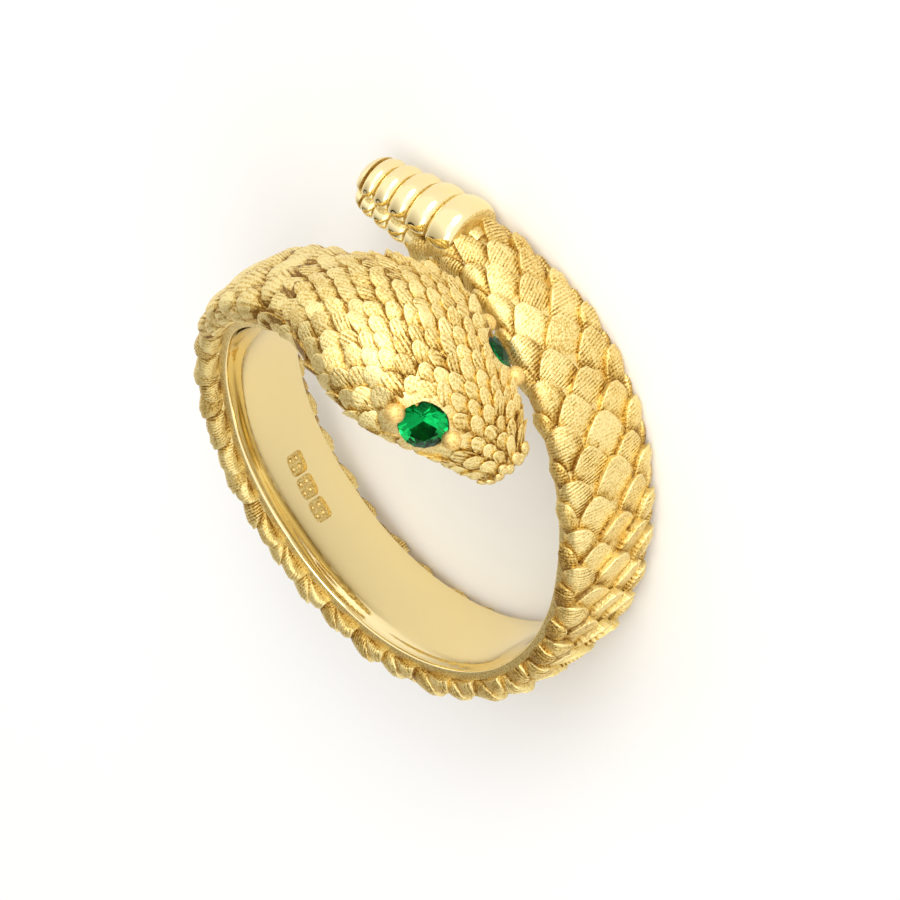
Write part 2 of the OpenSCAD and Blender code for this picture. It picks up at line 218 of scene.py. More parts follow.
def at_eye(way):
    """Matrix in millimetres that puts a thing on the eye of one side, Z outward."""
    turn = np.array(EYE_TURN)
    aside, height, lean = (float(v) for v in half_section(np.array(EYE_ACROSS), turn))
    aside *= way
    yaw, flank, side = (float(along(name, turn)) for name in ("yaw", "flank", "side"))
    back = math.degrees(math.tan(math.radians(yaw)) * (aside + flank) / HEAD_R)
    place = rotation(-(EYE_TURN + back), "Y") @ Matrix.Translation((0, side + aside, BORE_R + height))
    leaned = rotation(yaw, "Z") @ rotation(-way * math.degrees(lean), "X")
    return place @ leaned @ rotation(EYE_FORWARD, "Y") @ Matrix.Translation((0, 0, -STONE_SINK))


def linear(hex_colour):
    """Linear RGBA of an sRGB hex colour."""
    values = [int(hex_colour[i : i + 2], 16) / 255 for i in (1, 3, 5)]
    return [v / 12.92 if v <= 0.04045 else ((v + 0.055) / 1.055) ** 2.4 for v in values] + [1.0]


def add_node(tree, kind, inputs=(), stops=(), **settings):
    """Adds a node. Inputs are values for its sockets or outputs that feed them, stops are the
    places and colours of its ramp, from low to high, and settings are its properties."""
    node = tree.nodes.new(kind)
    for name, value in settings.items():
        setattr(node, name, value)
    for socket, value in dict(inputs).items():
        if isinstance(value, bpy.types.NodeSocket):
            tree.links.new(value, node.inputs[socket])
        else:
            node.inputs[socket].default_value = value
    for number, (place, colour) in enumerate(stops):
        ramp = node.color_ramp.elements
        stop = ramp[number] if number < 2 else ramp.new(place)
        stop.position = place
        stop.color = colour
    return node


def new_material(name, **sockets):
    """A new material with its node tree and its shader, whose sockets get these values."""
    material = bpy.data.materials.new(name)
    material.use_nodes = True
    tree = material.node_tree
    shader = tree.nodes["Principled BSDF"]
    for socket, value in sockets.items():
        shader.inputs[socket.replace("_", " ")].default_value = value
    return material, tree, shader


# Distance between the lines of a wave texture whose scale is 1
WAVE_PITCH = 0.314


def engraved_gold(name):
    """Satin yellow gold that is cut line by line with a graver."""
    # The lines make each scale glint in its own direction. Shade is painted into its colour: browner
    # in the cuts, in the pits of the grain and in the gaps between the scales, and paler along the
    # edges, partly rubbed wear and partly a painted highlight. The satin's grain is a few hundredths
    # of a millimetre, too fine to show, so it is drawn 0.085 mm wide.
    colours = bpy.context.scene.snake_ring_finish
    material, tree, shader = new_material(name, Metallic=1.0)
    place = add_node(tree, "ShaderNodeTexCoord")
    grain = add_node(tree, "ShaderNodeTexNoise", {
        "Vector": place.outputs["Object"], "Scale": 1 / (0.085 * MM), "Detail": 1.0, "Roughness": 0.6,
    })
    # The UV map is in millimetres, turned so that the lines run along V
    flat = add_node(tree, "ShaderNodeUVMap", uv_map="lines")
    wander = add_node(tree, "ShaderNodeTexNoise", {
        "Vector": flat.outputs["UV"], "Scale": 2.2, "Detail": 1.0,
    })
    wave = add_node(tree, "ShaderNodeTexWave", {
        "Vector": flat.outputs["UV"], "Scale": WAVE_PITCH / (colours.line_pitch / MM),
        "Distortion": 1.0, "Detail": 2.0, "Detail Scale": 1.6,
    })
    # The graver's pressure differs from place to place and from scale to scale
    patch = add_node(tree, "ShaderNodeMapRange", {
        "Value": wander.outputs["Fac"], "From Min": 0.38, "From Max": 0.6, "To Min": 0.35, "To Max": 1.0,
    })
    cut = add_node(tree, "ShaderNodeAttribute", attribute_name="cut")
    depth = add_node(tree, "ShaderNodeMath", {
        0: patch.outputs["Result"], 1: cut.outputs["Fac"],
    }, operation="MULTIPLY")
    groove = add_node(tree, "ShaderNodeMapRange", {
        "Value": wave.outputs["Fac"], "From Min": 0.15, "From Max": 0.6, "To Min": 1.0, "To Max": 0.0,
    })
    lines = add_node(tree, "ShaderNodeMath", {
        0: groove.outputs["Result"], 1: depth.outputs[0],
    }, operation="MULTIPLY")
    relief = add_node(tree, "ShaderNodeMath", {
        0: grain.outputs["Fac"], 1: -1.3, 2: lines.outputs[0],
    }, operation="MULTIPLY_ADD")
    bump = add_node(tree, "ShaderNodeBump", {
        "Height": relief.outputs[0], "Strength": 1.0, "Distance": 0.022 * MM,
    }, invert=True)
    tree.links.new(bump.outputs["Normal"], shader.inputs["Normal"])
    # Painted shade and light: the colour is darker in the grain's pits and paler on its tops
    pit_shade = add_node(tree, "ShaderNodeMapRange", {
        "Value": grain.outputs["Fac"], "From Min": 0.36, "From Max": 0.58, "To Min": -0.08, "To Max": 0.32,
    })
    tone = pit_shade.outputs["Result"]
    # Painted shade darkens the gaps where one scale covers the next, rubbed wear and a painted highlight
    # lighten the edges, and each scale's own tone differs at random
    for attribute, weight in (("painted_gap_shade", 0.55), ("worn_edge_and_highlight", 0.35), ("scale_tone", 1.0)):
        part = add_node(tree, "ShaderNodeAttribute", attribute_name=attribute)
        mix = add_node(tree, "ShaderNodeMath", {
            0: part.outputs["Fac"], 1: weight, 2: tone,
        }, operation="MULTIPLY_ADD")
        tone = mix.outputs[0]
    # Painted shade: the colour darkens in the cut lines, more where they are cut deeper
    tone_with_cut_shade = add_node(tree, "ShaderNodeMath", {
        0: lines.outputs[0], 1: -0.6, 2: tone,
    }, operation="MULTIPLY_ADD")
    # The ramp runs from the painted shade colour up to the satin gold
    shade = add_node(tree, "ShaderNodeValToRGB", {"Fac": tone_with_cut_shade.outputs[0]}, (
        (0.0, linear(colours.shaded_gold)), (0.4, linear("#D9B866")), (0.8, linear(colours.satin_gold)),
    ))
    tree.links.new(shade.outputs["Color"], shader.inputs["Base Color"])
    rough = add_node(tree, "ShaderNodeMapRange", {
        "Value": grain.outputs["Fac"], "From Min": 0.3, "From Max": 0.7, "To Min": 0.42, "To Max": 0.54,
    })
    tree.links.new(rough.outputs["Result"], shader.inputs["Roughness"])
    return material


def grained_gold(name, grain_mm, detail, strength, roughness, pits, tops):
    """Yellow gold with a fine grain, with painted shade in its pits and painted light on its tops."""
    material, tree, shader = new_material(name, Metallic=1.0, Roughness=roughness)
    place = add_node(tree, "ShaderNodeTexCoord")
    grain = add_node(tree, "ShaderNodeTexNoise", {
        "Vector": place.outputs["Object"], "Scale": 1 / (grain_mm * MM), "Detail": detail, "Roughness": 0.6,
    })
    bump = add_node(tree, "ShaderNodeBump", {
        "Height": grain.outputs["Fac"], "Strength": strength, "Distance": 0.02 * MM,
    })
    tree.links.new(bump.outputs["Normal"], shader.inputs["Normal"])
    # Painted shade darkens the grain's pits and painted light brightens its tops
    shade = add_node(tree, "ShaderNodeValToRGB", {"Fac": grain.outputs["Fac"]}, (pits, tops))
    tree.links.new(shade.outputs["Color"], shader.inputs["Base Color"])
    return material


def matte_gold(name):
    """Yellow gold left as it was cast and blasted."""
    # The grit leaves an even, soft sheen with no reflections in it. Its pits are a few
    # hundredths of a millimetre, too fine to show, so they are drawn 0.08 mm wide.
    tops = linear(bpy.context.scene.snake_ring_finish.satin_gold)
    return grained_gold(name, 0.08, 3.0, 0.4, 0.45, (0.3, linear("#C49E4C")), (0.6, tops))


def bead_gold(name):
    """Yellow gold beads that were pushed down over the stones and tumbled."""
    # Tumbling rounds off every mark, so the beads look soft and warm, with a broad dull light on
    # top. Its marks are too fine to show, so they are drawn 0.09 mm wide.
    return grained_gold(name, 0.09, 2.0, 0.6, 0.6, (0.3, linear("#D6A850")), (0.55, linear("#F3D890")))


def polished_gold(name):
    """Yellow gold polished on a felt wheel."""
    # The mirror shows the pale room and its dark side as broad streaks, a little softer where
    # wiping marks, about 1.5 mm wide, have dulled it.
    tint = linear(bpy.context.scene.snake_ring_finish.polished_gold)
    material, tree, shader = new_material(name, Metallic=1.0, Base_Color=tint)
    place = add_node(tree, "ShaderNodeTexCoord")
    marks = add_node(tree, "ShaderNodeTexNoise", {
        "Vector": place.outputs["Object"], "Scale": 1 / (1.5 * MM), "Detail": 1.0, "Roughness": 0.6,
    })
    rough = add_node(tree, "ShaderNodeMapRange", {
        "Value": marks.outputs["Fac"], "From Min": 0.3, "From Max": 0.7, "To Min": 0.05, "To Max": 0.1,
    })
    tree.links.new(rough.outputs["Result"], shader.inputs["Roughness"])
    return material


def emerald(name):
    """Clear green emerald, cut and polished with flat facets."""
    # Light goes in and comes back green from the facets, darker where the stone is cloudy, in
    # clouds about 0.9 mm wide, and its surface glints green as well.
    lighter = linear(bpy.context.scene.snake_ring_finish.stone_green)
    material, tree, shader = new_material(
        name, Roughness=0.02, IOR=1.58, Specular_Tint=linear("#1E8A48"), Transmission_Weight=1.0
    )
    place = add_node(tree, "ShaderNodeTexCoord")
    cloud = add_node(tree, "ShaderNodeTexNoise", {
        "Vector": place.outputs["Object"], "Scale": 1 / (0.9 * MM), "Detail": 2.0, "Roughness": 0.6,
    })
    shade = add_node(tree, "ShaderNodeValToRGB", {"Fac": cloud.outputs["Fac"]}, (
        (0.35, linear("#034E22")), (0.65, lighter),
    ))
    tree.links.new(shade.outputs["Color"], shader.inputs["Base Color"])
    return material


FINISHES = {
    "engraved_satin_yellow_gold": engraved_gold,
    "blasted_matte_yellow_gold": matte_gold,
    "tumbled_bead_yellow_gold": bead_gold,
    "mirror_polished_yellow_gold": polished_gold,
    "faceted_green_emerald": emerald,
}


def material_of(name):
    """The material of this name, made the first time that a piece needs it."""
    return bpy.data.materials.get(name) or FINISHES[name](name)


def nothing_selected():
    """Deselects every object, so that an operator acts on the new one alone."""
    if bpy.context.object and bpy.context.object.mode != "OBJECT":
        bpy.ops.object.mode_set(mode="OBJECT")
    bpy.ops.object.select_all(action="DESELECT")


def select_only(piece):
    """Selects one object alone and makes it the active one."""
    nothing_selected()
    bpy.context.view_layer.objects.active = piece
    piece.select_set(True)


def joined(name, pieces):
    """One object of this name, made by joining like pieces."""
    select_only(pieces[0])
    for piece in pieces:
        piece.select_set(True)
    bpy.ops.object.join()
    whole = bpy.context.object
    whole.name = name
    return whole


def coordinates(mesh):
    """The places of a mesh's vertices, one row each."""
    flat = np.empty(len(mesh.vertices) * 3)
    mesh.vertices.foreach_get("co", flat)
    return flat.reshape(-1, 3)


def set_coordinates(mesh, points):
    """Moves a mesh's vertices to these places."""
    mesh.vertices.foreach_set("co", np.asarray(points, dtype=float).ravel())
    mesh.update()


def numbers(items, name):
    """One whole number of each item, such as the vertex at each corner of the faces."""
    found = np.empty(len(items), dtype=int)
    items.foreach_get(name, found)
    return found


def put_on_ring(piece, points, place):
    """Gives a piece these points in millimetres, set in their place on the ring as it lies."""
    set_coordinates(piece.data, laid_down(np.array([place @ Vector(p) for p in points])))


def finish_piece(piece, materials, smooth_angle):
    """Gives a piece its materials and soft shading, and ties it to the frame."""
    select_only(piece)
    for name in materials:
        piece.data.materials.append(material_of(name))
    bpy.ops.object.shade_smooth_by_angle(angle=math.radians(smooth_angle))
    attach(piece, "root")
    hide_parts("snake_ring")


def grid(name, columns, rows):
    """Flat grid with this many faces each way, its points from 0 to 1 both ways."""
    nothing_selected()
    bpy.ops.mesh.primitive_grid_add(x_subdivisions=columns, y_subdivisions=rows, size=1)
    piece = bpy.context.object
    piece.name = name
    piece.data.name = name
    set_coordinates(piece.data, coordinates(piece.data) + [0.5, 0.5, 0])
    return piece


# The band under the scales. Its section runs from the near strip over the crest to the far
# strip, and back over the finger side: points of each stretch, where on the strip the polish
# begins, and the rounding of its edge and the crown of the finger side in millimetres.
SKIN_POINTS = 44
STRIP_POINTS = 8
WALL_POINTS = 22
POLISH_FROM = 0.6
EDGE_ROUND = 0.2
WALL_CROWN = 0.15
# Rows of faces along the band, and how it begins: rows, turn and length of its closed nose
BAND_ROWS = 300
NOSE_ROWS = 5
NOSE_TURN = SNOUT_TURN + 0.8
NOSE_L = 0.12


def band_depth(turn, across):
    """Depth of the band under the scales: none at the eyes and the strips, more on the body."""
    body = np.clip((turn - NAPE_TURN) / 6, 0, 1)
    depth = 0.1 + 0.08 * body
    bare = np.clip((from_eye(turn, across) - STONE_R - 0.3) / 0.5, 0, 1)
    edge = np.clip((1 - np.abs(across)) / 0.1, 0, 1)
    return depth * bare * edge


def band_section(turn):
    """Closed loop of section points, as aside and height, for each of these turns."""
    asides, heights = [], []
    for across in np.linspace(-1, 1, SKIN_POINTS):
        aside, height, lean = half_section(np.full_like(turn, abs(across)), turn)
        way = -1 if across < 0 else 1
        lift = brow(turn, across) - band_depth(turn, np.full_like(turn, across))
        asides.append(way * (aside + np.sin(lean) * lift))
        heights.append(height + np.cos(lean) * lift)
    foot, rim = along("foot", turn), along("rim", turn)
    round_in = np.minimum(EDGE_ROUND, foot * 0.4)
    side = [
        (rim + (foot - rim) * POLISH_FROM * t, RIM_H * (1 - POLISH_FROM * t) + 0 * rim)
        for t in (0.5, 1)
    ]
    start_a = rim + (foot - rim) * POLISH_FROM
    start_h = RIM_H * (1 - POLISH_FROM)
    for t in np.linspace(0, 1, STRIP_POINTS)[1:]:
        side.append((
            (1 - t) ** 2 * start_a + 2 * t * (1 - t) * foot + t**2 * (foot - round_in),
            (1 - t) ** 2 * start_h + 2 * t * (1 - t) * (WALL_CROWN + 0.01) + t**2 * WALL_CROWN,
        ))
    asides += [a for a, _ in side]
    heights += [h + 0 * turn for _, h in side]
    for t in np.linspace(1, -1, WALL_POINTS)[1:-1]:
        asides.append((foot - round_in) * t)
        heights.append(WALL_CROWN * t**4 + 0 * turn)
    asides += [-a for a, _ in side[::-1]]
    heights += [h + 0 * turn for _, h in side[::-1]]
    return np.array(asides), np.array(heights)


class SNAKERING_OT_band(bpy.types.Operator):
    """Band under the scales, with a polished finger side and matte edges"""

    bl_idname = "snake_ring.band"
    bl_label = "Band"

    def execute(self, context):
        count = SKIN_POINTS + 2 * (2 + STRIP_POINTS - 1) + WALL_POINTS - 2
        piece = grid("band", count, BAND_ROWS)
        flat = coordinates(piece.data)
        column = np.rint(flat[:, 0] * count).astype(int)
        row = np.rint(flat[:, 1] * BAND_ROWS).astype(int)
        rows = np.arange(BAND_ROWS + 1)
        dome = np.radians(90 * np.clip((NOSE_ROWS - rows) / NOSE_ROWS, 0, 1))
        steps = np.clip((rows - NOSE_ROWS) / (BAND_ROWS - NOSE_ROWS), 0, 1)
        at = NOSE_TURN + steps * (TAIL_TURN - NOSE_TURN)
        asides, heights = band_section(at)
        middle = heights.mean(axis=0)
        shrink = np.maximum(np.cos(dome), 0.02)
        asides = asides * shrink
        heights = middle + (heights - middle) * shrink
        ahead = at - np.degrees(np.sin(dome) * NOSE_L / HEAD_R)
        points = np.stack([section_point(ahead, asides[k], heights[k]) for k in range(count)])
        set_coordinates(piece.data, laid_down(points[column % count, row]))
        # The first column of each face says whether it lies on the polished finger side
        first = column[numbers(piece.data.loops, "vertex_index").reshape(-1, 4)].min(axis=1)
        polished = (first > SKIN_POINTS) & (first < count - 2)
        piece.data.polygons.foreach_set("material_index", polished.astype(int))
        select_only(piece)
        bpy.ops.object.mode_set(mode="EDIT")
        bpy.ops.mesh.select_all(action="SELECT")
        bpy.ops.mesh.remove_doubles(threshold=1e-6)
        bpy.ops.mesh.select_all(action="DESELECT")
        bpy.ops.mesh.select_non_manifold()
        bpy.ops.mesh.fill()
        bpy.ops.mesh.select_all(action="SELECT")
        bpy.ops.mesh.normals_make_consistent(inside=False)
        bpy.ops.object.mode_set(mode="OBJECT")
        for way in (-1, 1):
            cut_seat(piece, way)
        finish_piece(piece, ["blasted_matte_yellow_gold", "mirror_polished_yellow_gold"], 40)
        return {"FINISHED"}


def cut_away(piece, cutter):
    """Takes the cutter's shape out of a piece and removes the cutter."""
    select_only(piece)
    cut = piece.modifiers.new("cut", "BOOLEAN")
    cut.operation = "DIFFERENCE"
    cut.object = cutter
    cut.solver = "EXACT"
    bpy.ops.object.modifier_apply(modifier=cut.name)
    bpy.data.objects.remove(cutter)


# Seat of a stone in millimetres: room round the girdle, depth of the cone below it and how far
# it stays open above
SEAT_ROOM = 0.04
SEAT_DEPTH = 0.42 * STONE_D + 0.05
SEAT_OPEN = 0.75


def cut_seat(piece, way):
    """Cuts the open seat of one stone into the band."""
    nothing_selected()
    bpy.ops.mesh.primitive_cone_add(
        vertices=48, radius1=0.02, radius2=STONE_R + SEAT_ROOM, depth=SEAT_DEPTH
    )
    cutter = bpy.context.object
    set_coordinates(cutter.data, coordinates(cutter.data) - [0, 0, SEAT_DEPTH / 2])
    bpy.ops.object.mode_set(mode="EDIT")
    bpy.ops.mesh.select_all(action="DESELECT")
    bpy.ops.object.mode_set(mode="OBJECT")
    for face in cutter.data.polygons:
        face.select = face.normal.z > 0.9
    bpy.ops.object.mode_set(mode="EDIT")
    bpy.ops.mesh.extrude_region_move(TRANSFORM_OT_translate={"value": (0, 0, SEAT_OPEN)})
    bpy.ops.object.mode_set(mode="OBJECT")
    put_on_ring(cutter, coordinates(cutter.data), at_eye(way))
    cut_away(piece, cutter)


def master_scale(name, columns, rows, width, length, thickness, bevel, lip):
    """One scale as a flat plate in millimetres: X across, Y toward its free end, its top at 0,
    with a soft edge along its sides and free end, and a low lip along that end."""
    piece = grid(name, columns, len(rows) - 1)
    points = coordinates(piece.data)
    row = np.rint(points[:, 1] * (len(rows) - 1)).astype(int)
    points[:, 0] = (points[:, 0] - 0.5) * width
    points[:, 1] = np.array(rows)[row] * length
    points[:, 2] = lip * np.array([0.0] * (len(rows) - 3) + [-0.7, 1.0, 0.0])[row]
    set_coordinates(piece.data, points)
    bpy.ops.object.mode_set(mode="EDIT")
    bpy.ops.mesh.select_all(action="SELECT")
    bpy.ops.mesh.region_to_loop()
    bpy.ops.mesh.extrude_region_move(TRANSFORM_OT_translate={"value": (0, 0, -thickness)})
    bpy.ops.mesh.edge_face_add()
    bpy.ops.mesh.select_all(action="SELECT")
    bpy.ops.mesh.normals_make_consistent(inside=False)
    bpy.ops.mesh.select_all(action="DESELECT")
    bpy.ops.object.mode_set(mode="OBJECT")
    for edge in piece.data.edges:
        ends = [piece.data.vertices[i].co for i in edge.vertices]
        on_top = all(p.z > -thickness / 2 for p in ends)
        edge.select = on_top and (
            all(abs(abs(p.x) - width / 2) < 1e-4 for p in ends) or all(abs(p.y - length) < 1e-4 for p in ends)
        )
    bpy.ops.object.mode_set(mode="EDIT")
    bpy.ops.mesh.select_mode(type="EDGE")
    bpy.ops.mesh.bevel(offset=bevel, offset_type="OFFSET", segments=2, affect="EDGES", clamp_overlap=True)
    bpy.ops.object.mode_set(mode="OBJECT")
    return piece


def head_width(place, across):
    """Width of a head scale in millimetres: small and long on top, broad on the cheeks."""
    top = np.interp(place, [0, 0.2, 0.5, 0.85, 1.0], [0.5, 0.66, 0.82, 0.95, 1.25])
    cheek = np.clip((np.abs(across) - 0.42) / 0.25, 0, 1)
    return top * (1 + 0.45 * cheek)


# Distance between the body's rows of scales in millimetres, scales of such a row from the crest
# to the strip, and steps in which a row is measured across
BODY_ROW_MM = 0.95
BODY_ROW_SCALES = 1.5
FINE_STEPS = 240


def scale_rows():
    """Rows of scales: turn and pitch in degrees, and whether the row lies on the head."""
    rows = []
    turn = SNOUT_TURN + 1.0
    while turn < NAPE_TURN - 1.5:
        place = (turn - SNOUT_TURN) / (NAPE_TURN - SNOUT_TURN)
        pitch = np.degrees(np.interp(place, [0, 0.25, 0.6, 1], [0.4, 0.52, 0.66, 0.86]) / HEAD_R)
        rows.append((turn, pitch, True))
        turn += pitch
    body = round((TAIL_TURN - NAPE_TURN) / math.degrees(BODY_ROW_MM / (BORE_R + BODY_T / 2)))
    pitch = (TAIL_TURN - NAPE_TURN) / body
    rows += [(NAPE_TURN + pitch * i, pitch, False) for i in range(-1, body + 1)]
    return rows


def row_centres(turn, on_head, shifted):
    """Middle and half width of each scale of a row, as shares of the way across, and the
    millimetres of a whole share there."""
    fine = np.linspace(0, 1, FINE_STEPS + 1)
    path = skin(np.full_like(fine, turn), fine, 0.0)
    step = np.linalg.norm(np.diff(path, axis=0), axis=1)
    if on_head:
        place = (turn - SNOUT_TURN) / (NAPE_TURN - SNOUT_TURN)
        width = head_width(place, (fine[1:] + fine[:-1]) / 2)
        count = np.concatenate([[0], np.cumsum(step / width)])
    else:
        count = fine * BODY_ROW_SCALES
    found = []
    number = 0.5 if shifted else 0.0
    while number <= count[-1] + 0.3:
        middle = np.interp(number, count, fine)
        low = math.copysign(np.interp(abs(number - 0.5), count, fine), number - 0.5)
        high = np.interp(number + 0.5, count, fine)
        half = max(middle - low, high - middle)
        span = np.interp(middle, fine[1:], step * FINE_STEPS)
        for way in ((-1, 1) if number > 0 else (1,)):
            found.append((way * middle, half, span))
        number += 1
    return found


def leaf_width(row, look):
    """Half width of a scale at this row, as a share of its widest."""
    q = np.clip((row - look["belly"]) / (look["tip"] - look["belly"]), 0, 1)
    leaf = (1 - q ** look["blunt"]) ** (1 / look["blunt"])
    return look["end"] + (1 - look["end"]) * leaf


# The lowest scales are worn flat where the ring lies, this far above the floor in millimetres
WORN_FLAT = 0.005

# What the look of a scale holds. In rows from where the scale begins: root, belly and tip, its
# ends and widest place, and level, where it lies on the skin. As shares: end and wide, its width
# at the tip and at the belly, blunt, how round its tip is, and bow, how far the root's corners
# reach. In millimetres: lift, its rise for each row, dome, its crown, and curl, how far the tip
# turns down. Loose and twist are how far it is out of line, brow is its share of the brow's
# height, and radius turns degrees into millimetres. For the finish: shade, the reach in
# millimetres of the dark outline, painted shade along the gaps where the next scales cover it,
# outline, its strength, tone, how pale the scale is, cut, how deep its lines are and how much
# painted shade darkens them, line_angle and line_spread, their direction, and fan and stretch,
# how they spread.


def lay_scales(name, master, rows, seed):
    """One object with a copy of the master for each scale, bent onto the skin."""
    rng = np.random.default_rng(seed)
    base = coordinates(master.data)
    loops = numbers(master.data.loops, "vertex_index")
    totals = numbers(master.data.polygons, "loop_total")
    s = base[:, 0] / base[:, 0].max()
    v = base[:, 1] / base[:, 1].max()
    depth = base[:, 2]
    points, uvs, gap_shades, edges, cuts, tones = [], [], [], [], [], []
    for turn, pitch, middle, half, span, look in rows:
        tilt, roll, grow, spin, swing = np.clip(rng.normal(0, 1, 5), -1.8, 1.8)
        own = dict(look, tip=look["tip"] + 0.12 * swing)
        row_mm = math.radians(pitch) * look["radius"]
        wide = half * span * look["wide"] * (1 + 0.04 * grow)
        row = look["root"] + v * (own["tip"] - look["root"])
        row = row + look["bow"] * (s**2) * np.clip(1 - v, 0, 1)
        x = s * wide * leaf_width(row, own)
        y = row * row_mm
        pillow = look["dome"] * (1 - np.abs(s) ** 2) * np.clip(v * 2, 0, 1) * np.clip((1.02 - v) * 5, 0.3, 1)
        height = look["lift"] * (row - look["level"]) + pillow + depth
        height = height - look["curl"] * np.clip((row - 1) / (own["tip"] - 1), 0, 1) ** 2
        height = height + x * look["loose"] * roll + (y - row_mm) * look["loose"] * tilt
        a = math.radians(look["twist"] * spin)
        x_turned = x * math.cos(a) - (y - row_mm) * math.sin(a)
        y_turned = x * math.sin(a) + (y - row_mm) * math.cos(a) + row_mm
        at = turn + y_turned / row_mm * pitch
        across = np.clip(middle + x_turned / span, -1, 1)
        points.append(skin(at, across, height + brow(at, across) * look["brow"]))
        angle = look["line_angle"] + math.radians(look["line_spread"]) * rng.uniform(-1, 1)
        fan = 1 / (1 + look["fan"] * v)
        turned = np.array([[math.cos(angle), -math.sin(angle)], [math.sin(angle), math.cos(angle)]])
        uvs.append(np.stack([x * fan, y * look["stretch"]], axis=1) @ turned.T + rng.uniform(0, 50, 2))
        # Painted shade: the face darkens toward the gap where the next scales cover it
        beside = half * span - np.abs(x) - wide * leaf_width(row + 1, look)
        before = np.abs(x) - wide * leaf_width(row + 2, look)
        before = np.where(row + 2 > look["tip"], np.maximum(before, (row + 2 - look["tip"]) * row_mm), before)
        bare = np.minimum(beside, before) + np.minimum(depth + 0.03, 0)
        gap_shades.append(np.clip(bare / look["shade"], -0.3, 1) * look["outline"])
        # Rubbed wear and a painted highlight: the face is paler within about 0.08 mm of its edge
        rim = np.minimum(wide * leaf_width(row, own) * (1 - np.abs(s)) * 1.2, (own["tip"] - row) * row_mm)
        edges.append(np.clip(1 - (rim - 0.02) / 0.06, 0, 1))
        cuts.append(np.full(len(base), np.clip(look["cut"] + 0.4 * rng.uniform(-1, 1), 0, 1)))
        tones.append(np.full(len(base), look["tone"] + 0.12 * rng.uniform(-1, 1)))
    count = len(base)
    every = laid_down(np.concatenate(points))
    every[:, 2] = np.maximum(every[:, 2], FLOOR_LEVEL + WORN_FLAT * MM)
    corner = np.tile(loops, len(points)) + np.repeat(np.arange(len(points)) * count, len(loops))
    sizes = np.tile(totals, len(points))
    mesh = bpy.data.meshes.new(name)
    mesh.vertices.add(len(every))
    mesh.vertices.foreach_set("co", every.ravel())
    mesh.loops.add(len(corner))
    mesh.loops.foreach_set("vertex_index", corner)
    mesh.polygons.add(len(sizes))
    mesh.polygons.foreach_set("loop_start", np.concatenate([[0], np.cumsum(sizes)[:-1]]))
    mesh.polygons.foreach_set("loop_total", sizes)
    mesh.update(calc_edges=True)
    layer = mesh.uv_layers.new(name="lines")
    layer.data.foreach_set("uv", np.concatenate(uvs)[corner].ravel())
    for attribute, values in (
        ("painted_gap_shade", gap_shades), ("worn_edge_and_highlight", edges), ("cut", cuts), ("scale_tone", tones)
    ):
        layer = mesh.attributes.new(attribute, "FLOAT", "POINT")
        layer.data.foreach_set("value", np.concatenate(values))
    piece = bpy.data.objects.new(name, mesh)
    bpy.context.collection.objects.link(piece)
    return piece


class SNAKERING_OT_body_scales(bpy.types.Operator):
    """Large overlapping scales of the body, from the neck to the rattle"""

    bl_idname = "snake_ring.body_scales"
    bl_label = "Body scales"

    def execute(self, context):
        rows_at = (0, 0.2, 0.38, 0.55, 0.7, 0.83, 0.93, 0.97, 1)
        master = master_scale(
            "body_scale", 8, rows_at, width=1.9, length=2.4, thickness=0.4, bevel=0.05, lip=0.025
        )
        rows = []
        for index, (turn, pitch, on_head) in enumerate(scale_rows()):
            if on_head:
                continue
            # 1 on the neck, 0 from 70 degrees on, and 1 at the sides, 0 along the crest
            neck = float(np.clip((70 - turn) / 30, 0, 1))
            for middle, half, span in row_centres(turn, False, index % 2):
                side = float(np.clip((abs(middle) - 0.4) / 0.4, 0, 1))
                # The outline's painted shade along the gaps is wider and stronger on the neck
                look = dict(
                    root=-0.2, belly=0.8, tip=2.0 + 0.1 * neck, level=1.1,
                    end=0.12, wide=1.0, blunt=1.25 + 0.75 * neck + 1.0 * side * (1 - neck), bow=0.2,
                    lift=0.28 - 0.04 * neck, dome=0.02 + 0.24 * side + 0.16 * neck * (1 - side),
                    curl=0.02 + 0.06 * side + 0.06 * neck, loose=0.06 * (1 - side), twist=2.5,
                    brow=0.0, radius=BORE_R + BODY_T / 2, shade=0.3 + 0.1 * neck,
                    outline=1 + 0.45 * neck, tone=-0.1 * neck, cut=0.55 + 0.35 * neck,
                    line_angle=math.radians(80 * (1 - neck)), line_spread=14,
                    fan=1.4 * neck, stretch=1 - 0.6 * neck,
                )
                rows.append((turn, pitch, middle, half, span, look))
        piece = lay_scales("body_scales", master, rows, 11)
        bpy.data.objects.remove(master)
        finish_piece(piece, ["engraved_satin_yellow_gold"], 50)
        return {"FINISHED"}


